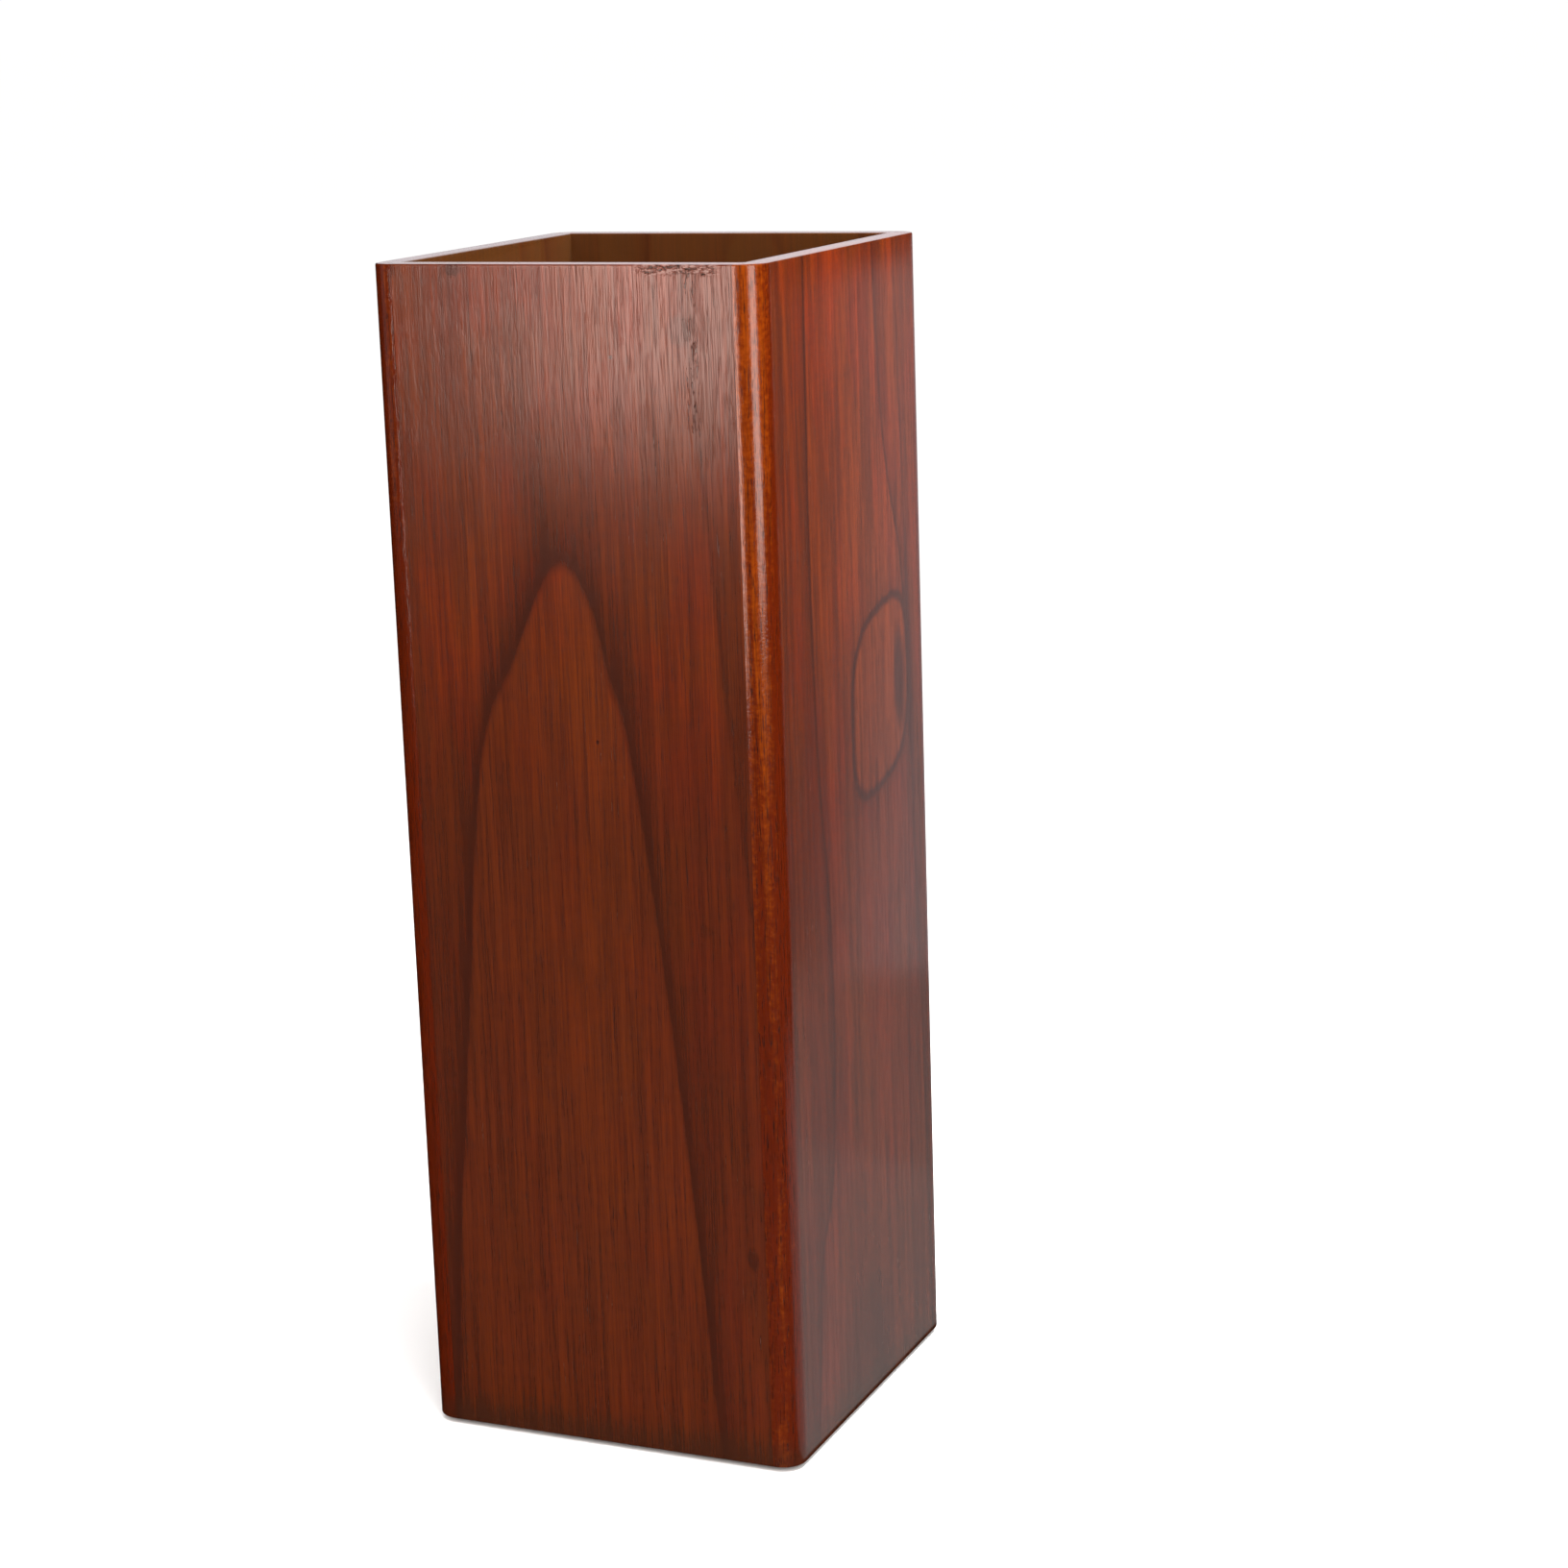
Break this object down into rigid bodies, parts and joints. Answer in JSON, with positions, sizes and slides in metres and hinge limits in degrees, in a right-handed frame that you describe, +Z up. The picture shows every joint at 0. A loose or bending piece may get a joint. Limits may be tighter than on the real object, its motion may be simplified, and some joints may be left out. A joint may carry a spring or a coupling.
{
  "type": "umbrella stand",
  "caption": "Tall square wooden umbrella stand, open at the top, with rounded corner posts, a bottom board on cleats, anti-slip pads and a lift-out drip tray.",
  "frame": {"origin": "on the ground under the middle of the stand, level with the underside of the anti-slip pads", "axes": "+Z up along the height, -Y out of the front face, +X to the right seen from the front"},
  "size_m": [0.155, 0.155, 0.45],
  "materials": {
    "stained_wood": "satin lacquer over a red-brown stain",
    "amber_wood": "satin lacquer over amber wood",
    "plywood": "bare plywood",
    "cleat_wood": "bare planed softwood",
    "screw_steel": "zinc-plated, faintly yellow",
    "pad_rubber": "matt black",
    "tray_plastic": "moulded, fine texture"
  },
  "bodies": {
    "stand": {"front_panel": "stained_wood", "back_panel": "stained_wood", "left_panel": "stained_wood", "right_panel": "stained_wood", "front_left_post": "amber_wood", "front_right_post": "amber_wood", "back_left_post": "amber_wood", "back_right_post": "amber_wood", "bottom_board": "plywood", "front_cleat": "cleat_wood", "back_cleat": "cleat_wood", "left_cleat": "cleat_wood", "right_cleat": "cleat_wood", "cleat_screws": "screw_steel", "front_left_pad": "pad_rubber", "front_right_pad": "pad_rubber", "back_left_pad": "pad_rubber", "back_right_pad": "pad_rubber"},
    "tray": {"drip_tray": "tray_plastic"}
  },
  "joints": [
    {"name": "tray_lift", "type": "slide", "parent": "stand", "child": "tray", "axis": [0, 0, 1], "range_m": [0, 0.44]}
  ]
}
